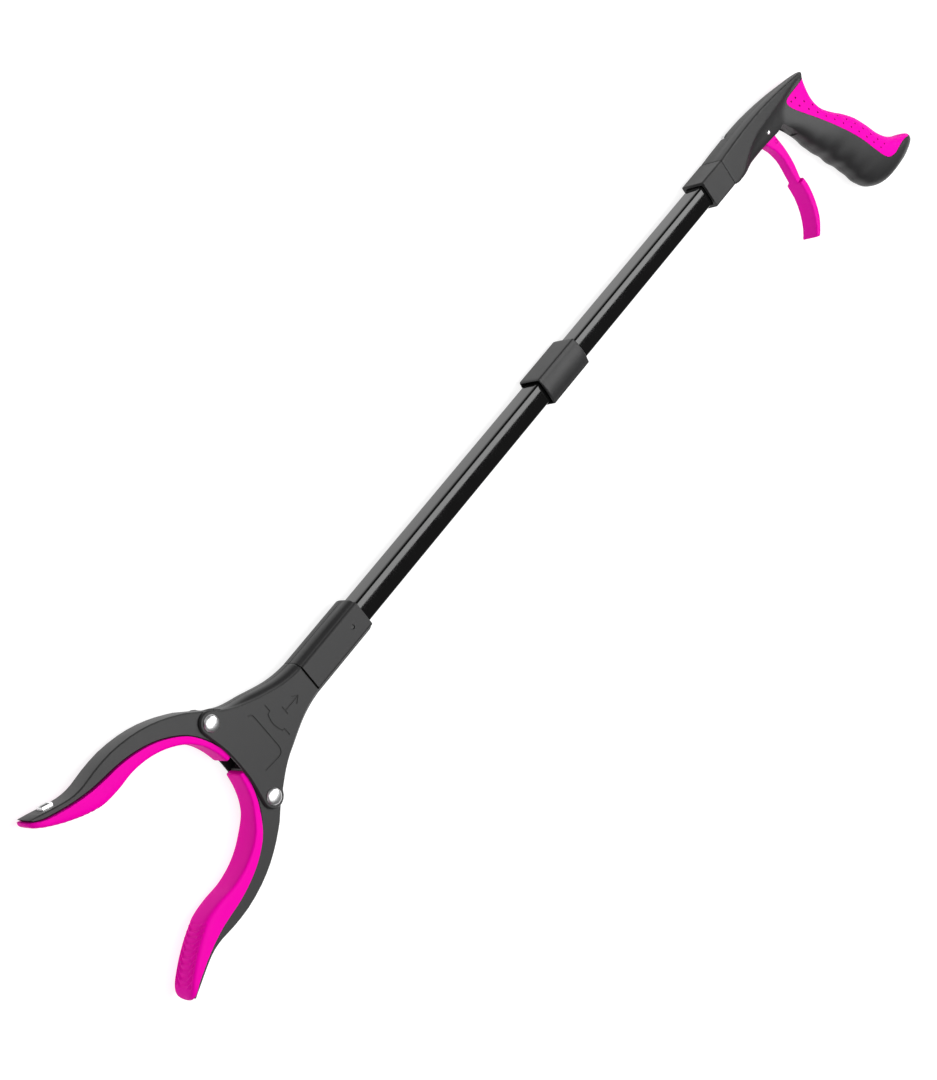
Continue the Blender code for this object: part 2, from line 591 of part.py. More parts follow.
def make_pull_bar(steel, carrier, post):
    """The flat bar that the trigger's post draws back, with the rear cable crimped to its nose."""
    lift = POST_RADIUS * (cos(POST_ANGLE) - cos(POST_ANGLE + SQUEEZE))
    top = (post[0], post[1] + lift)
    foot = arc(post, 2.3, 180, 360, 6)
    outline = ([(52, -1.6), (80.3, -1.6), (80.3, -9.0), (foot[0][0], top[1])] + foot
               + [(foot[-1][0] + 1.5, -9.0), (84.9, 0.6), (83.9, 1.6), (52, 1.6)])
    plate = prism("pull_bar", outline, -1.3, 1.3, steel, carrier)
    slot = prism("pull_bar_slot", slot_outline(post, top, 1.5), -5, 5, steel, carrier)
    cut(plate, slot)
    turned_x("rear_cable_ferrule", [(44.5, 1.6), (51.7, 1.6)], steel, carrier, 12)
    turned_x("rear_cable", [(FOLD_X + 4, CABLE), (44.2, CABLE)], steel, carrier, 8)


# ---------------------------------------------------------------- the whole grabber

def stand_on_origin(frame):
    """Moves the frame so that the origin is at the bottom centre of the whole object's box."""
    bpy.context.view_layer.update()
    graph = bpy.context.evaluated_depsgraph_get()
    corners = []
    for item in bpy.context.scene.objects:
        if item.type == "MESH" and not item.hide_render:
            shape = item.evaluated_get(graph)
            corners += [shape.matrix_world @ vertex.co for vertex in shape.data.vertices]
    low = [min(corner[i] for corner in corners) for i in range(3)]
    high = [max(corner[i] for corner in corners) for i in range(3)]
    frame.location = (-(low[0] + high[0]) / 2, -(low[1] + high[1]) / 2, -low[2])


def main():
    clear_scene()
    plastic = finish_material("black_plastic", (0.055, 0.055, 0.057), 0.42)
    rubber = finish_material("pink_rubber", (0.83, 0.01, 0.42), 0.5)
    tube_black = finish_material("black_tube", (0.02, 0.02, 0.022), 0.22, 0.6)
    steel = finish_material("steel", (0.55, 0.55, 0.56), 0.35, 1.0)
    chrome = finish_material("chrome", (0.85, 0.85, 0.86), 0.15, 1.0)

    handle = axis_empty("handle_frame", (0, 0, 0))
    sleeve = axis_empty("sleeve_axis", (FOLD_X, 0, 0), handle)
    front = axis_empty("fold_axis", (FOLD_X, FOLD_Y, 0), handle)
    head = axis_empty("swivel_axis", (SWIVEL_X, 0, 0), front)
    crosshead = axis_empty("crosshead_axis", (YOKE_PIN_X, 0, 0), head)
    jaws = {1: axis_empty("upper_jaw_axis", (RIVET_X, RIVET_Y, 0), head),
            -1: axis_empty("lower_jaw_axis", (RIVET_X, -RIVET_Y, 0), head)}
    trigger = axis_empty("trigger_axis", (*TRIGGER_PIN, 0), handle)
    pull = axis_empty("pull_bar_axis", (52, 0, 0), handle)

    make_tubes(tube_black, handle, front)
    make_sleeve(plastic, sleeve)
    make_fold_blocks(plastic, steel, handle, front)
    make_neck_collar(plastic, steel, front)
    make_head_shells(plastic, head)
    make_rivets(chrome, head)
    make_jaws(plastic, rubber, chrome, jaws)
    make_yoke(plastic, steel, crosshead)
    make_spring(steel, head)
    make_handle_collar(plastic, handle)
    make_handle(plastic, rubber, steel, chrome, handle)
    post = make_trigger(rubber, steel, trigger)
    make_pull_bar(steel, pull, post)
    stand_on_origin(handle)


main()
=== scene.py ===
"""The looks of a folding reacher grabber, piece by piece from the studio to the handle's screws.

Sizes are in millimetres in the grabber's own frame: X along the shaft towards the handle from the
front of the handle's collar, Y away from the trigger, Z up from the middle plane.
"""
from math import cos, hypot, pi, radians, sin

import bmesh
import bpy
from mathutils import Matrix, Vector
from mathutils.bvhtree import BVHTree


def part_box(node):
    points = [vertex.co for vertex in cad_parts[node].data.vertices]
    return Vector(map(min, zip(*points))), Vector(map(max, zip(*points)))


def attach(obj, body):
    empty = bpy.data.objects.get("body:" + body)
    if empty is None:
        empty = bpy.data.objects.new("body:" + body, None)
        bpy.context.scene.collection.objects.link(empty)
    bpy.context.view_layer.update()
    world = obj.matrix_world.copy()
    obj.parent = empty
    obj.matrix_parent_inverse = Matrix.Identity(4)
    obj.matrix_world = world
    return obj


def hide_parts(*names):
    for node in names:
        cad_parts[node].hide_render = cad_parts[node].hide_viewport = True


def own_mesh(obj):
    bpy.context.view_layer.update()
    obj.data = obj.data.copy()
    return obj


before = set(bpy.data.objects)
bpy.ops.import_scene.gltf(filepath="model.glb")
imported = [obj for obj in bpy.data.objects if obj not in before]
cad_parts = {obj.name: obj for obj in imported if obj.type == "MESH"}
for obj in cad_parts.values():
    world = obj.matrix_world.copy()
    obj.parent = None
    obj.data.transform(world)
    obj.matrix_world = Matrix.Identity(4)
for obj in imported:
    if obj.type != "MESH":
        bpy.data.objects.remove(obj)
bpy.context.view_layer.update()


# ------------------------------------------------------------------ studio
# A pale sheet under the grabber and three soft lamps. The broad lamp overhead ends just where its
# edge is mirrored along the front of the tubes, which gives them their one bright strip.

MM = 0.001
collar_low, collar_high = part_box("handle_collar")
shaft = Vector((collar_low.x, (collar_low.y + collar_high.y) / 2, (collar_low.z + collar_high.z) / 2))


def place(x, y, z):
    """A point of the grabber's own frame, in metres."""
    return shaft + Vector((x, y, z)) * MM


def soft_lamp(name, centre, size, power, aim=None):
    """An area lamp of a size in metres. Without an aim it points straight down."""
    lamp = bpy.data.lights.new(name, "AREA")
    lamp.shape = "RECTANGLE"
    lamp.size, lamp.size_y = size
    lamp.energy = power
    holder = bpy.data.objects.new(name, lamp)
    bpy.context.scene.collection.objects.link(holder)
    holder.location = place(*centre)
    if aim:
        heading = place(*aim) - holder.location
        holder.rotation_euler = heading.to_track_quat("-Z", "Y").to_euler()


LENS = 69.8
CAMERA_PLACE = (-901.9, 459.8, 956.8)
CAMERA_TURN = (3.893, -38.765, -45.206)
camera = bpy.data.cameras.new("camera")
camera.lens = LENS
viewer = bpy.data.objects.new("camera", camera)
bpy.context.scene.collection.objects.link(viewer)
viewer.location = place(*CAMERA_PLACE)
viewer.rotation_euler = [radians(turn) for turn in CAMERA_TURN]
bpy.context.scene.camera = viewer

LAMP_HEIGHT = 1400
LAMP_SIDE_Y = -603
LAMP_WIDTH = 850
overhead = (1000, LAMP_SIDE_Y + LAMP_WIDTH / 2, LAMP_HEIGHT)
soft_lamp("overhead_lamp", overhead, (3.2, LAMP_WIDTH * MM), 40)
soft_lamp("jaw_lamp", (-750, 0, 1300), (1.3, 1.1), 6, aim=(-560, 0, 0))
soft_lamp("side_lamp", (-700, 1500, 800), (1.6, 1.2), 1.5, aim=(-250, 0, 0))

ROOM_LIGHT = 0.06
world = bpy.data.worlds.new("dim_room")
world.use_nodes = True
world.node_tree.nodes["Background"].inputs["Color"].default_value = (1, 1, 1, 1)
world.node_tree.nodes["Background"].inputs["Strength"].default_value = ROOM_LIGHT
bpy.context.scene.world = world
bpy.context.scene.view_settings.view_transform = "Standard"

SHEET_REACH = 6.0
sheet_data = bmesh.new()
bmesh.ops.create_grid(sheet_data, x_segments=2, y_segments=2, size=SHEET_REACH)
sheet_mesh = bpy.data.meshes.new("floor")
sheet_data.to_mesh(sheet_mesh)
sheet_data.free()
floor = bpy.data.objects.new("floor", sheet_mesh)
bpy.context.scene.collection.objects.link(floor)
paper = bpy.data.materials.new("pale_paper")
paper.use_nodes = True
# The sheet glows, so that hardly any shadow shows on it
paper_look = {"Base Color": (0.3, 0.3, 0.3, 1), "Roughness": 0.9, "Emission Color": (1, 1, 1, 1),
              "Emission Strength": 0.85}
for socket, value in paper_look.items():
    paper.node_tree.nodes["Principled BSDF"].inputs[socket].default_value = value
floor.data.materials.append(paper)


# ------------------------------------------------------------------ square tubes
# Two lengths of drawn square aluminium tube, anodised gloss black, with faintly crowned faces. The
# rear one is fixed in the handle and the front one in the neck.

class Shade:
    """A socket of a node tree. Arithmetic on it adds Math nodes, and node() adds any other node."""

    def __init__(self, tree, socket=None):
        self.tree = tree
        self.socket = socket

    def node(self, kind, settings, sockets, output=0):
        """A new node with these settings, whose sockets take plain values or other sockets."""
        made = self.tree.nodes.new(kind)
        for name, value in settings.items():
            setattr(made, name, value)
        for key, value in sockets.items():
            if isinstance(value, Shade):
                self.tree.links.new(value.socket, made.inputs[key])
            else:
                made.inputs[key].default_value = value
        return Shade(self.tree, made.outputs[output])

    def maths(self, operation, first, second):
        """A Math node."""
        return self.node("ShaderNodeMath", {"operation": operation}, {0: first, 1: second})

    def __add__(self, other):
        return self.maths("ADD", self, other)

    def __radd__(self, other):
        return self.maths("ADD", other, self)

    def __sub__(self, other):
        return self.maths("SUBTRACT", self, other)

    def __rsub__(self, other):
        return self.maths("SUBTRACT", other, self)

    def __mul__(self, other):
        return self.maths("MULTIPLY", self, other)

    def __rmul__(self, other):
        return self.maths("MULTIPLY", other, self)

    def feed(self, shader, socket):
        """Links this socket to one of a shader's."""
        self.tree.links.new(self.socket, shader.inputs[socket])


def start_finish(name, fixed):
    """A new material: fixed holds the sockets of its shader that are the same all over."""
    material = bpy.data.materials.new(name)
    material.use_nodes = True
    shader = material.node_tree.nodes["Principled BSDF"]
    for socket, value in fixed.items():
        shader.inputs[socket].default_value = value
    return material, shader, Shade(material.node_tree)


def moulded_or_drawn(name, colour, worn, fixed, roughness, grain_size, grain_depth, stretch=(1, 1, 1)):
    """A finish with slow changes of colour and gloss, and a fine grain. Grain sizes are millimetres."""
    material, shader, start = start_finish(name, fixed)
    coords = start.node("ShaderNodeTexCoord", {}, {}, "Object")
    drawn = start.node("ShaderNodeMapping", {}, {"Vector": coords, "Scale": stretch})
    clouds = start.node("ShaderNodeTexNoise", {}, {"Vector": coords, "Scale": 55.0, "Detail": 4.0})
    smears = start.node("ShaderNodeTexNoise", {}, {"Vector": coords, "Scale": 190.0, "Detail": 3.0})
    grain = start.node("ShaderNodeTexNoise", {},
                       {"Vector": drawn, "Scale": 1000 / grain_size, "Detail": 3.0, "Roughness": 0.6})
    tint = start.node("ShaderNodeMix", {"data_type": "RGBA"},
                      {0: clouds * 0.7 + grain * 0.3, 6: (*colour, 1), 7: (*worn, 1)}, 2)
    tint.feed(shader, "Base Color")
    (roughness - 0.05 + 0.06 * clouds + 0.05 * smears).feed(shader, "Roughness")
    relief = start.node("ShaderNodeBump", {},
                        {"Height": grain, "Distance": grain_depth * MM, "Strength": 0.8})
    relief.feed(shader, "Normal")
    return material


gloss_black = moulded_or_drawn("gloss_black_anodising", (0.004, 0.004, 0.004), (0.006, 0.006, 0.006),
                               {"IOR": 1.55}, 0.04, 0.6, 0.00002, (0.03, 1, 1))


def dress(node, material):
    """Gives a CAD node that stays as it is its finish."""
    node_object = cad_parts[node]
    node_object.data.materials.clear()
    node_object.data.materials.append(material)


def add_piece(name, shape, material, sharp=32):
    """A new piece from a bmesh in the grabber's own millimetres."""
    bmesh.ops.remove_doubles(shape, verts=shape.verts, dist=0.001)
    bmesh.ops.recalc_face_normals(shape, faces=shape.faces)
    in_metres = Matrix.Translation(shaft) @ Matrix.Scale(MM, 4)
    bmesh.ops.transform(shape, matrix=in_metres, verts=shape.verts)
    mesh = bpy.data.meshes.new(name)
    shape.to_mesh(mesh)
    shape.free()
    mesh.shade_smooth()
    mesh.set_sharp_from_angle(angle=radians(sharp))
    piece = bpy.data.objects.new(name, mesh)
    bpy.context.scene.collection.objects.link(piece)
    piece.data.materials.append(material)
    return piece


def skin(rings, closed=False):
    """A bmesh through rings of equal length; a closed skin joins its last ring to its first."""
    shape = bmesh.new()
    loops = [[shape.verts.new(point) for point in ring] for ring in rings]
    count = len(rings[0])
    pairs = list(zip(loops, loops[1:]))
    if closed:
        pairs.append((loops[-1], loops[0]))
    for low, high in pairs:
        for i in range(count):
            j = (i + 1) % count
            shape.faces.new((low[i], low[j], high[j], high[i]))
    if not closed:
        shape.faces.new(loops[0])
        shape.faces.new(loops[-1])
    return shape


def finish_piece(piece, body, slot, *nodes):
    """The piece rides on its body and stands for its CAD nodes, which are hidden. Its slot is not used.
    """
    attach(piece, body)
    if nodes:
        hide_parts(*nodes)


def merged_copy(node, material):
    """A copy of a CAD node with its loose triangles joined and its flats made whole."""
    shape = bmesh.new()
    shape.from_mesh(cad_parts[node].data)
    bmesh.ops.remove_doubles(shape, verts=shape.verts, dist=0.000002)
    bmesh.ops.dissolve_limit(shape, angle_limit=radians(0.6), verts=shape.verts, edges=shape.edges)
    mesh = bpy.data.meshes.new(node + "_fine")
    shape.to_mesh(mesh)
    shape.free()
    piece = bpy.data.objects.new(node + "_fine", mesh)
    bpy.context.scene.collection.objects.link(piece)
    piece.data.materials.append(material)
    return piece


def settle(piece, sharp=32):
    """Turns a piece's modifiers into plain mesh. Faces square to an axis are shaded flat."""
    graph = bpy.context.evaluated_depsgraph_get()
    graph.update()
    solid = bpy.data.meshes.new_from_object(piece.evaluated_get(graph))
    piece.modifiers.clear()
    piece.data = solid
    piece.data.shade_smooth()
    piece.data.set_sharp_from_angle(angle=radians(sharp))
    for face in piece.data.polygons:
        if max(abs(part) for part in face.normal) > 0.99995:
            face.use_smooth = False
    return piece


def rounded(piece, width):
    """Rounds every edge that turns more than 28 degrees."""
    bevel = piece.modifiers.new("rounding", "BEVEL")
    bevel.width = width * MM
    bevel.segments = 3
    bevel.limit_method = "ANGLE"
    bevel.angle_limit = radians(28)
    bevel.use_clamp_overlap = True
    return settle(piece, 40)


TUBE_WALL = 1.2
TUBE_CORNER = 1.9
TUBE_CROWN = 0.10
TUBE_CHAMFER = 0.25


def crowned_section(wide, high, corner, side_crown, face_crown):
    """A rectangular section whose sides and faces bulge a little between round corners."""
    flat_y, flat_z = wide - corner, high - corner
    quarter = [(flat_y * i / 6, high - face_crown * (i / 6) ** 2) for i in range(6)]
    for i in range(7):
        angle = pi / 2 * (1 - i / 6)
        quarter.append((flat_y + (corner - side_crown) * cos(angle),
                        flat_z + (corner - face_crown) * sin(angle)))
    quarter += [(wide - side_crown * (1 - i / 6) ** 2, flat_z * (1 - i / 6)) for i in range(1, 6)]
    lower = [(y, -z) for y, z in reversed(quarter[1:])]
    right = quarter + [(wide, 0.0)] + lower
    return right + [(0.0, -high)] + [(-y, z) for y, z in reversed(right[1:])]


for tube, body in (("rear_tube", "handle"), ("front_tube", "front_section")):
    low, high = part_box(tube)
    start_x, end_x = ((corner.x - shaft.x) / MM for corner in (low, high))
    half = (high.z - low.z) / 2 / MM
    rings = []
    for x, trim in ((start_x, TUBE_CHAMFER), (start_x + TUBE_CHAMFER, 0),
                    (end_x - TUBE_CHAMFER, 0), (end_x, TUBE_CHAMFER)):
        section = crowned_section(half - trim, half - trim, TUBE_CORNER, TUBE_CROWN, TUBE_CROWN)
        rings.append([(x, y, z) for y, z in section])
    bore = half - TUBE_WALL
    rings += [[(x, y, z) for y, z in crowned_section(bore, bore, 0.6, 0, 0)] for x in (end_x, start_x)]
    length = add_piece(tube + "_fine", skin(rings, closed=True), gloss_black, 30)
    finish_piece(length, body, "tube_finish", tube)


# ------------------------------------------------------------------ fold hinge
# The two moulded plugs in the tube ends, knuckled together on a steel pin, and the steel cable and
# bar that pull the jaws. Plain parts that hardly show unless the grabber is folded.

black_plastic = moulded_or_drawn("moulded_black_plastic", (0.014, 0.014, 0.0145), (0.022, 0.022, 0.0225),
                                 {"IOR": 1.44}, 0.46, 0.55, 0.018)
bright_steel = moulded_or_drawn("bright_steel", (0.5, 0.5, 0.51), (0.62, 0.62, 0.63), {"Metallic": 1.0},
                                0.3, 0.3, 0.003)
black_steel = moulded_or_drawn("blacked_steel", (0.03, 0.03, 0.031), (0.05, 0.05, 0.05),
                               {"Metallic": 0.6}, 0.42, 0.3, 0.003)

for node in ("fold_rear_block", "fold_front_block", "crosshead"):
    dress(node, black_plastic)
for node in ("fold_rear_block_cross_pin", "fold_front_block_cross_pin", "neck_lock_pin"):
    dress(node, black_steel)
for node in ("fold_hinge_pin", "upper_crosshead_pin", "lower_crosshead_pin", "front_cable_ferrule",
             "front_cable", "pull_bar", "rear_cable_ferrule", "rear_cable"):
    dress(node, bright_steel)


# ------------------------------------------------------------------ sliding sleeve
# A moulded sleeve that locks the fold hinge straight until it is slid back. Its faces are slightly
# crowned and its ends are rounded over.

SLEEVE_INNER = 8.55
SLEEVE_CROWN = 1.3
SLEEVE_CORNER = 2.2
# How the ends are rounded over: the depth from the end, and how far the outside is drawn in there
SLEEVE_END = ((0, 0.6), (0.25, 0.2), (0.8, 0), (3, 0))
sleeve_low, sleeve_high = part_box("sliding_sleeve")
sleeve_start, sleeve_end = ((corner.x - shaft.x) / MM for corner in (sleeve_low, sleeve_high))
sleeve_half = (sleeve_high.z - sleeve_low.z) / 2 / MM


def sleeve_ring(x, trim):
    """The sleeve's outside at x, drawn in by the trim."""
    section = crowned_section(sleeve_half + 0.1 - trim, sleeve_half + 1.1 - trim, SLEEVE_CORNER, 0.15,
                              SLEEVE_CROWN)
    return [(x, y, z) for y, z in section]


def sleeve_bore(x, flare):
    """The sleeve's inside at x, opened out by the flare."""
    section = crowned_section(SLEEVE_INNER + flare, SLEEVE_INNER + flare, 0.8, 0, 0)
    return [(x, y, z) for y, z in section]


sleeve_rings = [sleeve_bore(sleeve_start, 0.25)]
sleeve_rings += [sleeve_ring(sleeve_start + depth, trim) for depth, trim in SLEEVE_END]
sleeve_rings += [sleeve_ring(sleeve_end - depth, trim) for depth, trim in reversed(SLEEVE_END)]
sleeve_rings += [sleeve_bore(sleeve_end, 0.25), sleeve_bore(sleeve_end - 0.8, 0)]
sleeve_rings += [sleeve_bore(sleeve_start + 0.8, 0)]
sleeve = add_piece("sleeve", skin(sleeve_rings, closed=True), black_plastic, 45)
finish_piece(sleeve, "sleeve", "black_plastic", "sliding_sleeve")


# ------------------------------------------------------------------ head and neck collar
# Two moulded shells clamp the jaws, the crosshead and the neck's spigot. A rounded wall stands
# round the flat front plate from the collar to the ears, with a soft valley between.

def smooth_line(points, steps):
    """A smooth line through the points (Catmull-Rom)."""
    ends = [points[0], *points, points[-1]]
    line = []
    for a, b, c, d in zip(ends, ends[1:], ends[2:], ends[3:]):
        for i in range(steps):
            t = i / steps
            line.append(tuple(0.5 * (2 * q + (r - p) * t + (2 * p - 5 * q + 4 * r - s) * t * t
                                     + (3 * q - p - 3 * r + s) * t ** 3)
                              for p, q, r, s in zip(a, b, c, d)))
    return line + [tuple(points[-1])]


def normals_of(line):
    """The direction to the left of the line at each of its points."""
    found = []
    for i in range(len(line)):
        before, after = line[max(i - 1, 0)], line[min(i + 1, len(line) - 1)]
        dx, dy = after[0] - before[0], after[1] - before[1]
        length = hypot(dx, dy) or 1.0
        found.append((-dy / length, dx / length))
    return found


def smooth_share(low, high, value):
    """0 at the low end and 1 at the high end, with an easy run between."""
    share = min(max((value - low) / (high - low), 0.0), 1.0)
    return share * share * (3 - 2 * share)


def join(piece, tools, operation):
    """Adds the tools to a piece, or cuts them from it, and removes them."""
    for tool in tools:
        boolean = piece.modifiers.new("join", "BOOLEAN")
        boolean.operation = operation
        boolean.object = tool
        boolean.solver = "EXACT"
        boolean.material_mode = "TRANSFER"
    settle(piece)
    for tool in tools:
        bpy.data.objects.remove(tool)


SWIVEL_X = -442.0
EDGE_GAP = 0.3
# How far the wall stands out from the plate's edge, and its height there
WALL = ((-1.4, 0.2), (-1.4, 8.9), (-0.7, 8.85), (-0.25, 8.5), (0.05, 7.9), (0.35, 7.35), (0.8, 6.95),
        (1.35, 6.6), (1.9, 6.0), (2.3, 5.1), (2.55, 3.9), (2.6, 2.4), (2.6, 0.2))


def wall_along(name, edge, taper, side, face):
    """The rounded wall along one edge of the plate. Face is 1 on the front half and -1 on the rear."""
    rings = []
    for (x, y), (nx, ny), share in zip(edge, normals_of(edge), taper):
        section = [(out * (share if out > 0 else 1), z) for out, z in WALL]
        rings.append([(x + nx * out, side * (y + ny * out), face * z) for out, z in section])
    return add_piece(name, skin(rings), black_plastic, 60)


# The edges that carry the wall, on the head and on the collar, and how fully it stands out there
flank = smooth_line([(SWIVEL_X - EDGE_GAP, 8.8), (-450, 9.6), (-459, 11.6), (-469, 15.2), (-478, 19.0),
                     (-487, 23.6), (-493.5, 28.0)], 5)[::-1]
flank_taper = [0.15 + 0.85 * smooth_share(-492.5, -474, x) for x, y in flank]
neck = [(SWIVEL_X + EDGE_GAP, 8.8), (-428, 8.8), (-410, 8.8), (-392.6, 8.8), (-391.3, 8.8)]
neck_taper = [1, 1, 1, 1, 0.75]

GROOVE = 0.9
GROOVE_DEPTH = 0.35
# The grooves' walls and floors take a blacker finish than the plate: painted shade in the recesses.
painted_groove_shade = moulded_or_drawn("painted_groove_shade", (0.006, 0.006, 0.006), (0.01, 0.01, 0.01), {},
                                0.6, 0.5, 0.005)
# Plain guide lines sunk in the plate: a rounded bracket, a stepped arc and a turning arrow
PLATE_LINES = (
    smooth_line([(-485.2, 14.4), (-483.2, 13.2), (-482.7, 10.8)], 3) + [(-482.6, -10.6)]
    + smooth_line([(-482.8, -12.4), (-484.2, -14.6), (-487.0, -15.0)], 3) + [(-497.4, -14.2)],
    [(-473.5, 11.0), (-473.5, 6.2), (-475.4, 6.2)]
    + smooth_line([(-476.1, 4.4), (-476.8, 0.3), (-476.1, -4.0), (-475.0, -6.8)], 4)
    + [(-473.5, -6.8), (-473.4, -11.9)],
    [(-466.3, 2.4), (-466.3, -3.0)],
    [(-466.3, -0.4), (-455.4, -0.6)],
    [(-458.2, 2.0), (-454.6, -0.6), (-458.4, -3.2)],
)


def groove_tool(name, line, top):
    """A cutter along a line on the plate, as wide as the groove."""
    rings = []
    half = GROOVE / 2
    across = ((half, top - GROOVE_DEPTH), (half, top + 1), (-half, top + 1), (-half, top - GROOVE_DEPTH))
    for (x, y), (nx, ny) in zip(line, normals_of(line)):
        rings.append([(x + nx * out, y + ny * out, z) for out, z in across])
    return add_piece(name, skin(rings), painted_groove_shade)


head_top = (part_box("head_front_shell")[1].z - shaft.z) / MM
for node, face in (("head_front_shell", 1), ("head_rear_shell", -1)):
    shell = merged_copy(node, black_plastic)
    walls = [wall_along(f"{node}_wall_{side}", flank, flank_taper, side, face) for side in (1, -1)]
    join(shell, walls, "UNION")
    if face > 0:
        grooves = [groove_tool(f"plate_line_{i}", line, head_top) for i, line in enumerate(PLATE_LINES)]
        join(shell, grooves, "DIFFERENCE")
    finish_piece(shell, "head", "black_plastic", node)

collar_piece = merged_copy("neck_collar", black_plastic)
join(collar_piece, [wall_along(f"neck_wall_{side}_{face}", neck, neck_taper, side, face)
                    for side in (1, -1) for face in (1, -1)], "UNION")
finish_piece(collar_piece, "front_section", "black_plastic", "neck_collar")


# ------------------------------------------------------------------ return spring
# A steel coil between the crosshead and the neck. The real coil shortens as the crosshead is drawn back,
# by the crosshead's travel and a little clearance; here it keeps the CAD length, with a mesh of its own.

coil = merged_copy("return_spring", bright_steel)
finish_piece(coil, "head", "steel", "return_spring")
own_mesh(coil)


# ------------------------------------------------------------------ jaw rivets
# Domed chromed rivets through the head's ears, headed over on both sides. One tree of nodes makes
# a rivet from its sizes, and it is run for each ear.

chrome = moulded_or_drawn("chrome", (0.86, 0.86, 0.87), (0.93, 0.93, 0.93), {"Metallic": 1.0},
                          0.34, 0.6, 0.001)
RIVET_DOME = 0.0019


def node_tree(name, sizes):
    """A Geometry Nodes tree with named inputs for its sizes."""
    tree = bpy.data.node_groups.new(name, "GeometryNodeTree")
    tree.interface.new_socket("Geometry", in_out="INPUT", socket_type="NodeSocketGeometry")
    tree.interface.new_socket("Geometry", in_out="OUTPUT", socket_type="NodeSocketGeometry")
    for label, value in sizes.items():
        size = tree.interface.new_socket(label, in_out="INPUT", socket_type="NodeSocketFloat")
        size.default_value = value
    entry = tree.nodes.new("NodeGroupInput")
    inputs = {socket.name: Shade(tree, socket) for socket in entry.outputs if socket.name}
    return tree, inputs, Shade(tree)


def end_tree(tree, geometry, material):
    """Realize the instances, give them their finish and hand them out."""
    real = geometry.node("GeometryNodeRealizeInstances", {}, {"Geometry": geometry})
    painted = real.node("GeometryNodeSetMaterial", {}, {"Geometry": real})
    painted.socket.node.inputs["Material"].default_value = material
    exit_node = tree.nodes.new("NodeGroupOutput")
    tree.links.new(painted.socket, exit_node.inputs["Geometry"])


def grown(name, points, tree, material, sizes):
    """Runs a tree on a mesh of bare points and keeps the result as plain mesh."""
    seeds = bpy.data.meshes.new(name)
    seeds.from_pydata([place(*point) for point in points], [], [])
    piece = bpy.data.objects.new(name, seeds)
    bpy.context.scene.collection.objects.link(piece)
    modifier = piece.modifiers.new("grown", "NODES")
    modifier.node_group = tree
    for socket in tree.interface.items_tree:
        if socket.name in sizes:
            modifier[socket.identifier] = sizes[socket.name]
    settle(piece, 50)
    if not piece.data.materials:
        piece.data.materials.append(material)
    return piece


rivet_tree, given, start = node_tree("headed_rivet", {"Head Radius": 0.0045, "Head Height": RIVET_DOME,
                                                      "Shank Radius": 0.0025, "Half Grip": 0.0097})
dome = start.node("GeometryNodeMeshUVSphere", {}, {"Segments": 40, "Rings": 24, "Radius": 1.0})
dome_scale = start.node("ShaderNodeCombineXYZ", {}, {"X": given["Head Radius"], "Y": given["Head Radius"],
                                                     "Z": given["Head Height"]})
dome = start.node("GeometryNodeTransform", {}, {"Geometry": dome, "Scale": dome_scale})
height = start.node("GeometryNodeInputPosition", {}, {})
height = start.node("ShaderNodeSeparateXYZ", {}, {"Vector": height}, "Z")
under = start.node("FunctionNodeCompare", {"data_type": "FLOAT", "operation": "LESS_THAN"},
                   {0: height, 1: 0.0})
flat_under = start.node("ShaderNodeCombineXYZ", {}, {"Z": height * -1.0})
dome = start.node("GeometryNodeSetPosition", {},
                  {"Geometry": dome, "Selection": under, "Offset": flat_under})
raise_by = start.node("ShaderNodeCombineXYZ", {}, {"Z": given["Half Grip"]})
upper_head = start.node("GeometryNodeTransform", {}, {"Geometry": dome, "Translation": raise_by})
lower_head = start.node("GeometryNodeTransform", {}, {"Geometry": upper_head, "Rotation": (pi, 0, 0)})
shank = start.node("GeometryNodeMeshCylinder", {},
                   {"Vertices": 32, "Radius": given["Shank Radius"], "Depth": given["Half Grip"] * 2.0})
rivet = start.node("GeometryNodeJoinGeometry", {}, {})
for part in (upper_head, lower_head, shank):
    rivet_tree.links.new(part.socket, rivet.socket.node.inputs[0])
ears = start.node("GeometryNodeMeshToPoints", {}, {"Mesh": given["Geometry"]})
set_in = start.node("GeometryNodeInstanceOnPoints", {}, {"Points": ears, "Instance": rivet})
end_tree(rivet_tree, set_in, chrome)

for node in ("upper_jaw_rivet", "lower_jaw_rivet"):
    low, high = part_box(node)
    middle = ((low + high) / 2 - shaft) / MM
    rivet_piece = grown(node + "_fine", [middle], rivet_tree, chrome,
                        {"Head Radius": (high.x - low.x) / 2 + EDGE_GAP * MM,
                         "Half Grip": (high.z - low.z) / 2 - RIVET_DOME})
    finish_piece(rivet_piece, "head", "chrome", node)


# ------------------------------------------------------------------ jaw frames and tip magnet
# Curved arms moulded in the black plastic, with rounded backs. The upper one carries a small
# nickelled magnet in a cup, let into the outer side of its tip.

for side, name in ((1, "upper_jaw"), (-1, "lower_jaw")):
    arm = rounded(merged_copy(name + "_frame", black_plastic), 0.55)
    finish_piece(arm, name, "black_plastic", name + "_frame")

OUTWARDS = Vector((0.36, 0.93, 0))
MAGNET_STANDS_OUT = 1.4
CUP_RIM = 1.1
CUP_DEPTH = 0.7
dark_cup = moulded_or_drawn("dark_cup", (0.02, 0.02, 0.02), (0.04, 0.04, 0.04), {}, 0.5, 0.5, 0.01)
magnet = merged_copy("tip_magnet", chrome)
magnet.data.materials.append(dark_cup)
cup = bmesh.new()
cup.from_mesh(magnet.data)
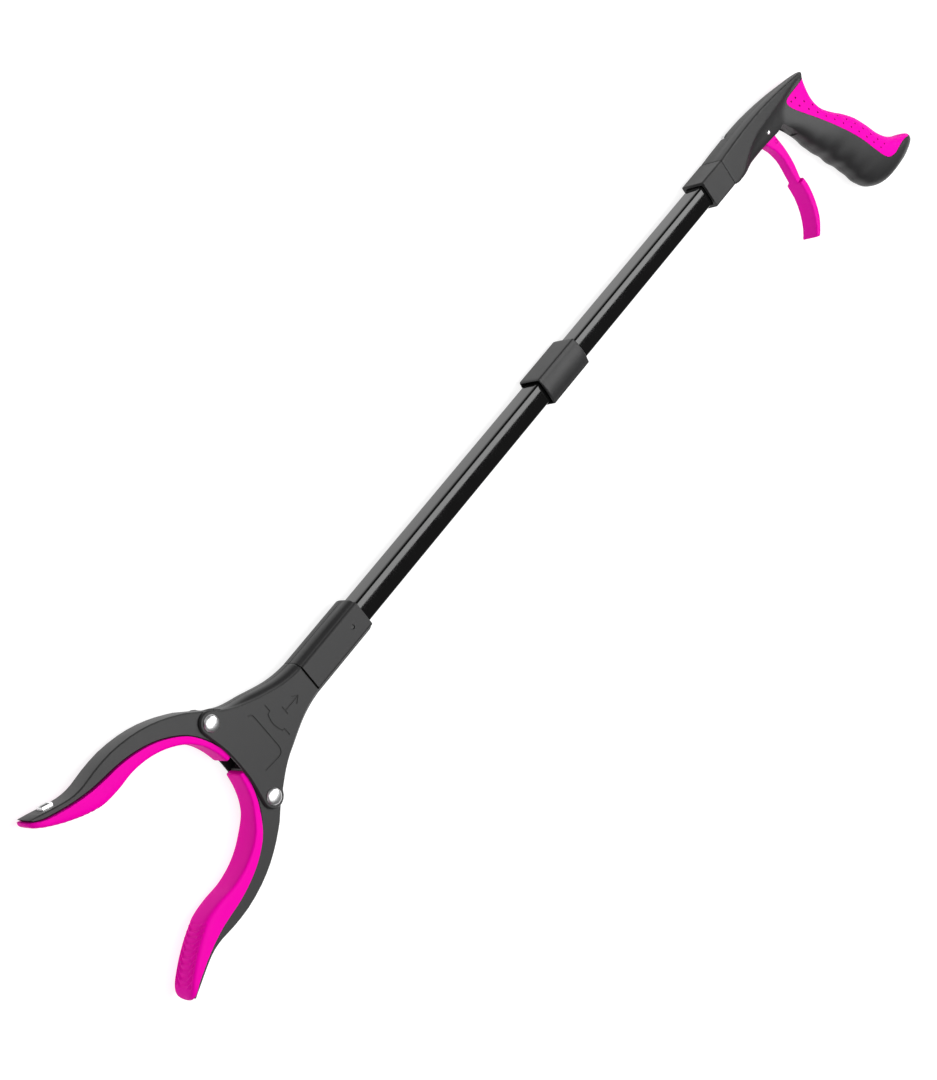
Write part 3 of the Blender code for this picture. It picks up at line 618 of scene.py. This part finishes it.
# The cup is sunk in the largest face that looks outwards
outer_face = max(cup.faces, key=lambda f: f.normal.y * 10 + f.calc_area() * 1e4)
bmesh.ops.inset_region(cup, faces=[outer_face], thickness=CUP_RIM * MM)
outer_face.material_index = 1
bmesh.ops.translate(cup, verts=outer_face.verts, vec=outer_face.normal * -CUP_DEPTH * MM)
bmesh.ops.translate(cup, verts=cup.verts, vec=OUTWARDS * MAGNET_STANDS_OUT * MM)
cup.to_mesh(magnet.data)
cup.free()
finish_piece(rounded(magnet, 0.2), "upper_jaw", "chrome", "tip_magnet")


# ------------------------------------------------------------------ jaw pads
# Soft rubber over-moulded on the inside of each arm: flat with crisp edges at its root, and drawn
# out to a rounded finger pad at the tip, with a row of sunk chevrons.

def rubber(name, colour, shaded, fixed, roughness):
    """A soft rubber: nearly flat colour with a faint bloom, and a very fine grain."""
    return moulded_or_drawn(name, colour, shaded, fixed, roughness, 0.45, 0.006)


pink_rubber = rubber("pink_rubber", (0.95, 0.0, 0.46), (0.90, 0.0, 0.43),
                     {"IOR": 1.4, "Specular IOR Level": 0.05}, 0.5)

# Along the upper pad from root to tip: where it meets the arm, and where it faces the other jaw
SEAM = smooth_line([(-505.8, 6.0), (-508.0, 15.0), (-511.6, 24.0), (-517, 32.4), (-525, 39.6),
                    (-535, 45.6), (-546, 49.6), (-557, 52.0), (-567, 53.0), (-576, 54.2), (-587, 56.8),
                    (-596, 59.8), (-604, 63.0), (-608.5, 66.0), (-611.4, 68.0)], 8)
MOUTH = smooth_line([(-509.6, 5.2), (-511.4, 14.0), (-515.0, 22.6), (-521.0, 30.0), (-530, 36.6),
                     (-541, 41.2), (-553, 43.2), (-565, 42.6), (-576, 43.2), (-585, 46.2), (-595, 51.6),
                     (-604, 57.8), (-610.0, 62.8), (-612.4, 65.6)], 8)
PAD_HALF = 7.3
PAD_RINGS = 320
PAD_SIDES = 44
# How far the pad's foot stands off the arm, as a share of the pad's depth
PAD_FOOT = EDGE_GAP / 8
RIB_START, RIB_END = -578.0, -608.0


def along(line, share):
    """A point at a share of a line's number of points."""
    at = share * (len(line) - 1)
    i = min(int(at), len(line) - 2)
    part = at - i
    return tuple(p + (q - p) * part for p, q in zip(line[i], line[i + 1]))


def pad_shape(side):
    """Rings across the pad, square near its root and fuller near its tip, which ends as a fingertip."""
    rings = []
    for k in range(PAD_RINGS + 1):
        share = k / PAD_RINGS
        share = 1 - (1 - share) ** 1.25
        seat, grip = along(SEAM, share), along(MOUTH, share)
        tip = min(max((share - 0.85) / 0.15, 0.0), 1.0)
        root = smooth_share(0.0, 0.008, share)
        power = 8.0 - 3.4 * smooth_share(0.45, 0.75, share)
        spread = 2.1 * smooth_share(25, 36, grip[1]) + 0.7 * smooth_share(0.6, 0.8, share)
        half = (PAD_HALF + spread) * max((1 - tip ** 2.2) ** (1 / 2.2), 0.1) * (0.96 + 0.04 * root)
        swell = 0.9 + 0.1 * root - 0.55 * tip ** 4
        ring = []
        for i in range(PAD_SIDES + 1):
            angle = pi * i / PAD_SIDES
            across = abs(cos(angle)) ** (2 / power) * (1 if i < PAD_SIDES / 2 else -1)
            out = sin(angle) ** (2 / power) if 0 < i < PAD_SIDES else 0.0
            reach = PAD_FOOT + (1 - PAD_FOOT) * out * swell
            ring.append((seat[0] + (grip[0] - seat[0]) * reach,
                         side * (seat[1] + (grip[1] - seat[1]) * reach),
                         half * across))
        rings.append(ring)
    return rings


rib_tree, given, start = node_tree("chevron_ribs", {"Height": 0.0010, "Pitch": 0.0031, "Slant": 0.75})
from_tip = start.node("GeometryNodeInputNamedAttribute", {"data_type": "FLOAT"}, {"Name": "from_tip"})
off_middle = start.node("GeometryNodeInputNamedAttribute", {"data_type": "FLOAT"}, {"Name": "off_middle"})
rib_mask = start.node("GeometryNodeInputNamedAttribute", {"data_type": "FLOAT"}, {"Name": "rib_mask"})
phase = start.maths("DIVIDE", from_tip + given["Slant"] * off_middle, given["Pitch"])
wave = start.maths("FRACT", phase, 0.0)
tooth = start.maths("MINIMUM", wave * 1.35, (1.0 - wave) * 4.0)
facing = start.node("GeometryNodeInputNormal", {}, {})
lift = start.node("ShaderNodeVectorMath", {"operation": "SCALE"},
                  {"Vector": facing, "Scale": (tooth - 1.0) * rib_mask * given["Height"]})
ribbed = start.node("GeometryNodeSetPosition", {}, {"Geometry": given["Geometry"], "Offset": lift})
end_tree(rib_tree, ribbed, pink_rubber)

for side, name in ((1, "upper_jaw"), (-1, "lower_jaw")):
    pad = add_piece(name + "_pad_fine", skin(pad_shape(side)), pink_rubber, 50)
    marks = {label: pad.data.attributes.new(label, "FLOAT", "POINT")
             for label in ("from_tip", "off_middle", "rib_mask")}
    for i, vertex in enumerate(pad.data.vertices):
        x, y, z = (vertex.co - shaft) / MM
        toward_mouth = -vertex.normal.y * side
        length_mask = ((1 - smooth_share(RIB_START - 4, RIB_START + 1, x))
                       * smooth_share(RIB_END - 2, RIB_END + 1, x))
        width_mask = 1 - smooth_share(7.6, 8.8, abs(z))
        marks["from_tip"].data[i].value = (x + 620) * MM
        marks["off_middle"].data[i].value = -abs(z) * MM
        marks["rib_mask"].data[i].value = length_mask * width_mask * smooth_share(0.15, 0.4, toward_mouth)
    modifier = pad.modifiers.new("chevrons", "NODES")
    modifier.node_group = rib_tree
    settle(pad, 60)
    finish_piece(pad, name, "pink_rubber", name + "_pad")


# ------------------------------------------------------------------ handle collar
# A square moulded ring that closes the handle's shells on the tube.

collar_ring = rounded(merged_copy("handle_collar", black_plastic), 0.4)
finish_piece(collar_ring, "handle", "black_plastic", "handle_collar")


# ------------------------------------------------------------------ handle shells and palm cover
# Two moulded shells, screwed together. The barrel has a narrow flat front facet that runs out to a
# point, and falls away below it into the grip; the palm side is over-moulded in dimpled rubber.

SEAM_X = 24.3
# Along the barrel: top edge, bottom edge, the facet's lower edge, and half the thickness
BARREL = ((SEAM_X, 9.8, -9.8, -9.5, 9.8), (30, 10.2, -11.2, -9.4, 9.7), (38, 10.6, -11.3, -8.4, 9.5),
          (46, 10.9, -11.3, -5.2, 9.3), (56, 11.2, -11.3, -1.2, 9.0), (66, 11.3, -11.6, 0.8, 8.7),
          (78, 11.0, -13.2, 1.7, 8.1), (92, 10.0, -15.0, 2.2, 7.3), (106, 8.5, -10.0, 2.5, 6.3),
          (120, 6.5, -5.0, 2.9, 5.0), (131, 4.8, -2.0, 2.8, 3.9), (137.5, 3.5, -0.4, 1.7, 2.7),
          (139.8, 2.6, 0.5, 1.6, 1.5))


def barrel_ring(x, high, low, facet, half):
    """Half a ring of the barrel, from its top round the front to its bottom."""
    drop = facet - low
    fall = smooth_share(0.5, 9.0, drop) * half / 8.5
    crown = [(high, 0), (high + 0.1, half * 0.5), (high - 0.2, half * 0.88), (high - 0.5, half * 0.97),
             (high - 0.9, half)]
    flat = [((high + facet) / 2, half), (facet + 0.2, half), (facet - 0.25, half - 0.1 * fall)]
    hollow = [(facet - drop * share, half - depth * fall)
              for share, depth in ((0.14, 0.9), (0.36, 1.6), (0.62, 2.1), (0.84, 2.8))]
    foot = [(low + drop * 0.04, half - 3.9 * fall), (low, half * 0.8 - 4 * fall), (low, 0)]
    return [(x, y, z) for y, z in crown + flat + hollow + foot]


def whole_ring(ring):
    """The half ring and its mirror image behind the middle plane."""
    return ring + [(x, y, -z) for x, y, z in reversed(ring[1:-1])]


# Along the grip: its palm edge, its finger edge and half its thickness
GRIP = ((139.3, -0.2, 84.0, -3.0, 5.0), (136.2, -6.8, 92.0, -14.0, 6.8),
        (133.6, -15.0, 100.0, -21.0, 8.6), (135.2, -24.0, 106.6, -31.5, 10.2),
        (142.5, -33.0, 109.6, -40.0, 11.2), (151.5, -41.5, 113.2, -46.5, 11.8),
        (159.0, -50.0, 117.6, -54.0, 12.0), (165.5, -60.5, 121.4, -62.5, 12.0),
        (170.5, -70.5, 126.2, -70.0, 12.0), (177.0, -79.0, 130.0, -79.5, 11.8),
        (185.2, -85.0, 134.2, -89.0, 11.4), (194.0, -89.2, 142.0, -97.0, 10.6),
        (200.2, -93.0, 155.0, -102.2, 9.0), (202.2, -97.0, 178.0, -103.6, 5.0))
GRIP_SIDES = 36
GRIP_POWER = 2.35
SCALLOP_PITCH = 12.09
SCALLOP = 0.28


def grip_ring(palm_x, palm_y, finger_x, finger_y, half):
    """A ring of the grip, with the fingers' shallow scallops along its front edge."""
    inside = smooth_share(-96, -84, finger_y) * (1 - smooth_share(-40, -30, finger_y))
    scallop = SCALLOP * inside * (1 - cos(2 * pi * (finger_y + 36) / SCALLOP_PITCH))
    span = hypot(palm_x - finger_x, palm_y - finger_y)
    finger_x += (palm_x - finger_x) / span * scallop
    finger_y += (palm_y - finger_y) / span * scallop
    ring = []
    for i in range(GRIP_SIDES + 1):
        angle = pi * i / GRIP_SIDES
        reach = abs(cos(angle)) ** (2 / GRIP_POWER) * (1 if i < GRIP_SIDES / 2 else -1)
        share = (1 - reach) / 2
        height = half * sin(angle) ** (2 / GRIP_POWER) if 0 < i < GRIP_SIDES else 0.0
        ring.append((palm_x + (finger_x - palm_x) * share,
                     palm_y + (finger_y - palm_y) * share,
                     height))
    return whole_ring(ring)


PALM_EDGE = smooth_line([(139.5, -1.2), (121.0, -1.0), (110.0, -1.6), (108.8, -6.0), (113.5, -14.2),
                         (125.0, -29.7), (136.5, -46.0), (146.3, -61.2), (153.7, -76.4), (160.3, -87.0),
                         (168.6, -90.5), (178.6, -90.2), (188.0, -91.0), (196.8, -93.6)], 4)
palm_region = PALM_EDGE + [(204.0, -95.0), (225.0, -90.0), (225.0, -1.2)]
PALM_GAP = 0.25
TRIGGER_ROOM = [(64.0, -1.0), (60.5, -30), (96, -30), (104.0, -24.5), (101.0, -17.0), (88.0, 2.4),
                (78.0, 4.6), (68.0, 2.6)]
TRIGGER_ROOM_HALF = 4.9
BEYOND = 30


def prism(name, outline, low, high):
    """A straight block with this outline between two heights."""
    return add_piece(name, skin([[(x, y, z) for x, y in outline] for z in (low, high)]), black_plastic)


def handle_solid():
    """Barrel and grip as one solid, remeshed finely and softened where they meet."""
    barrel_rings = [whole_ring(barrel_ring(*ring)) for ring in smooth_line(BARREL, 6)]
    barrel = add_piece("handle_solid", skin(barrel_rings), black_plastic)
    grip_rings = [grip_ring(*ring) for ring in smooth_line(GRIP, 9)]
    grip = add_piece("grip_solid", skin(grip_rings), black_plastic)
    join(barrel, [grip], "UNION")
    remesh = barrel.modifiers.new("fine", "REMESH")
    remesh.mode = "VOXEL"
    remesh.voxel_size = 0.65 * MM
    settle(barrel)
    blend_zone = barrel.vertex_groups.new(name="meeting")
    for vertex in barrel.data.vertices:
        x, y, _ = (vertex.co - shaft) / MM
        weight = smooth_share(60, 84, x) * smooth_share(1.8, -1.5, y) * smooth_share(-46, -24, y)
        blend_zone.add([vertex.index], weight, "REPLACE")
    soften = barrel.modifiers.new("soften", "SMOOTH")
    soften.vertex_group = "meeting"
    soften.factor = 0.8
    soften.iterations = 60
    overall = barrel.modifiers.new("overall", "SMOOTH")
    overall.factor = 0.5
    overall.iterations = 2
    return settle(barrel)


def outline_moved(outline, inset):
    """The outline moved inwards by the inset."""
    area = sum(a[0] * b[1] - b[0] * a[1] for a, b in zip(outline, outline[1:] + outline[:1]))
    turn = 1 if area > 0 else -1
    moved = []
    for before, here, after in zip(outline[-1:] + outline[:-1], outline, outline[1:] + outline[:1]):
        dx, dy = after[0] - before[0], after[1] - before[1]
        length = hypot(dx, dy) or 1.0
        moved.append((here[0] - dy / length * inset * turn, here[1] + dx / length * inset * turn))
    return moved


solid = handle_solid()
palm_piece = bpy.data.objects.new("palm_cover_fine", solid.data.copy())
bpy.context.scene.collection.objects.link(palm_piece)
join(solid, [prism("palm_room", outline_moved(palm_region, -PALM_GAP), -BEYOND, BEYOND)], "DIFFERENCE")
join(palm_piece, [prism("palm_stock", palm_region, -BEYOND, BEYOND)], "INTERSECT")
join(solid, [prism("trigger_room", TRIGGER_ROOM, -TRIGGER_ROOM_HALF, TRIGGER_ROOM_HALF)], "DIFFERENCE")


def bored(name, x, y, radius, low, high):
    """A cutter for a round bore across the handle."""
    ring = [(x + radius * cos(i * pi / 12), y + radius * sin(i * pi / 12)) for i in range(24)]
    return prism(name, ring, low, high)


SCREW_SEAT_Z = -5.2
SCREW_TIP_Z = 3.5
room = (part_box("rear_tube")[1].z - shaft.z) / MM + EDGE_GAP
rooms = [prism("tube_room", [(10, -room), (44.5, -room), (44.5, room), (10, room)], -room, room),
         prism("pull_bar_room", [(44, -8.6), (96, -8.6), (96, 7.2), (44, 7.2)], -4.6, 4.6)]
for number in range(1, 5):
    low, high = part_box(f"handle_screw_{number}")
    x, y, _ = ((low + high) / 2 - shaft) / MM
    rooms.append(bored(f"screw_head_room_{number}", x, y, 3.3, -BEYOND, SCREW_SEAT_Z))
    rooms.append(bored(f"screw_room_{number}", x, y, 1.7, SCREW_SEAT_Z - 0.1, SCREW_TIP_Z))
join(solid, rooms, "DIFFERENCE")

PARTING = 0.08
for node, face in (("handle_front_shell", 1), ("handle_rear_shell", -1)):
    half_shape = bmesh.new()
    half_shape.from_mesh(solid.data)
    cut_plane = shaft + Vector((0, 0, face * PARTING * MM))
    everything = half_shape.verts[:] + half_shape.edges[:] + half_shape.faces[:]
    bmesh.ops.bisect_plane(half_shape, geom=everything, plane_co=cut_plane, plane_no=(0, 0, -face),
                           clear_outer=True)
    mesh = bpy.data.meshes.new(node + "_fine")
    half_shape.to_mesh(mesh)
    half_shape.free()
    half_piece = bpy.data.objects.new(node + "_fine", mesh)
    bpy.context.scene.collection.objects.link(half_piece)
    half_piece.data.materials.append(black_plastic)
    mesh.shade_smooth()
    mesh.set_sharp_from_angle(angle=radians(50))
    finish_piece(half_piece, "handle", "black_plastic", node)
bpy.data.objects.remove(solid)

palm_piece.data.materials.clear()
palm_piece.data.materials.append(pink_rubber)

DIMPLE_PITCH = 8.0
# The two rows of dimples: how far in from the cover's edge, and where along it the first one sits
DIMPLE_ROWS = ((4.0, 1.5), (8.6, 5.5))
# The pits take a far darker pink than the cover: painted shade in the dimples.
painted_dimple_shade = rubber("painted_dimple_shade", (0.40, 0.0, 0.19), (0.36, 0.0, 0.17),
                     {"Specular IOR Level": 0.1}, 0.6)
dimple_tree, given, start = node_tree("palm_dimples", {"Radius": 0.0008, "Depth Share": 1.1})
pit = start.node("GeometryNodeMeshIcoSphere", {}, {"Radius": given["Radius"], "Subdivisions": 2})
pit_scale = start.node("ShaderNodeCombineXYZ", {}, {"X": 1.0, "Y": 1.0, "Z": given["Depth Share"]})
pit = start.node("GeometryNodeTransform", {}, {"Geometry": pit, "Scale": pit_scale})
spots = start.node("GeometryNodeMeshToPoints", {}, {"Mesh": given["Geometry"]})
pits = start.node("GeometryNodeInstanceOnPoints", {}, {"Points": spots, "Instance": pit})
end_tree(dimple_tree, pits, painted_dimple_shade)

palm_line = [point for point in PALM_EDGE if -87 < point[1] < -4.5]
lengths = [0.0]
for here, after in zip(palm_line, palm_line[1:]):
    lengths.append(lengths[-1] + hypot(after[0] - here[0], after[1] - here[1]))
palm_skin = BVHTree.FromObject(palm_piece, bpy.context.evaluated_depsgraph_get())
dimple_spots = []
for inset, first in DIMPLE_ROWS:
    travelled = first
    while travelled < lengths[-1]:
        i = next(k for k, length in enumerate(lengths) if length >= travelled)
        (x0, y0), (x1, y1) = palm_line[i - 1], palm_line[i]
        part = (travelled - lengths[i - 1]) / (lengths[i] - lengths[i - 1])
        step = hypot(x1 - x0, y1 - y0)
        x = x0 + (x1 - x0) * part - (y1 - y0) / step * inset
        y = y0 + (y1 - y0) * part + (x1 - x0) / step * inset
        for face in (1, -1):
            hit = palm_skin.ray_cast(place(x, y, face * 40), Vector((0, 0, -face)))[0]
            if hit:
                dimple_spots.append((hit - shaft) / MM)
        travelled += DIMPLE_PITCH
dimple_pits = grown("palm_dimple_pits", dimple_spots, dimple_tree, painted_dimple_shade, {})
join(palm_piece, [dimple_pits], "DIFFERENCE")
finish_piece(palm_piece, "handle", "pink_rubber", "palm_cover")


# ------------------------------------------------------------------ trigger
# A moulded lever in the same pink, with a narrow stem and a wider finger pad, on a bright pin.

pink_plastic = moulded_or_drawn("pink_plastic", (0.82, 0.0, 0.40), (0.76, 0.0, 0.37),
                                {"IOR": 1.44, "Specular IOR Level": 0.08}, 0.34, 0.5, 0.003)
lever = merged_copy("trigger", pink_plastic)
fine = lever.modifiers.new("fine", "REMESH")
fine.mode = "VOXEL"
fine.voxel_size = 0.42 * MM
soften = lever.modifiers.new("soften", "SMOOTH")
soften.factor = 0.6
soften.iterations = 7
settle(lever, 60)
finish_piece(lever, "trigger", "pink_plastic", "trigger")

# The pin's bright ends lie just proud of the barrel's flanks
PIN_REACH = 7.2
pin_low, pin_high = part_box("trigger_pin")
pin_middle = ((pin_low + pin_high) / 2 - shaft) / MM
pin_radius = (pin_high.x - pin_low.x) / 2 / MM
pin_end = ((0.0, 0.3), (0.1, 1.1), (0.4, pin_radius))
pin_profile = [(inset - PIN_REACH, r) for inset, r in pin_end]
pin_profile += [(PIN_REACH - inset, r) for inset, r in reversed(pin_end)]
pin_rings = []
for z, r in pin_profile:
    pin_rings.append([(pin_middle.x + r * cos(i * pi / 16), pin_middle.y + r * sin(i * pi / 16), z)
                      for i in range(32)])
pin = add_piece("trigger_pin_fine", skin(pin_rings), chrome, 60)
finish_piece(pin, "handle", "chrome", "trigger_pin")
dress("trigger_post", pink_plastic)


# ------------------------------------------------------------------ handle screws
# Four pan-headed screws sunk in the rear shell.

for number in range(1, 5):
    dress(f"handle_screw_{number}", bright_steel)
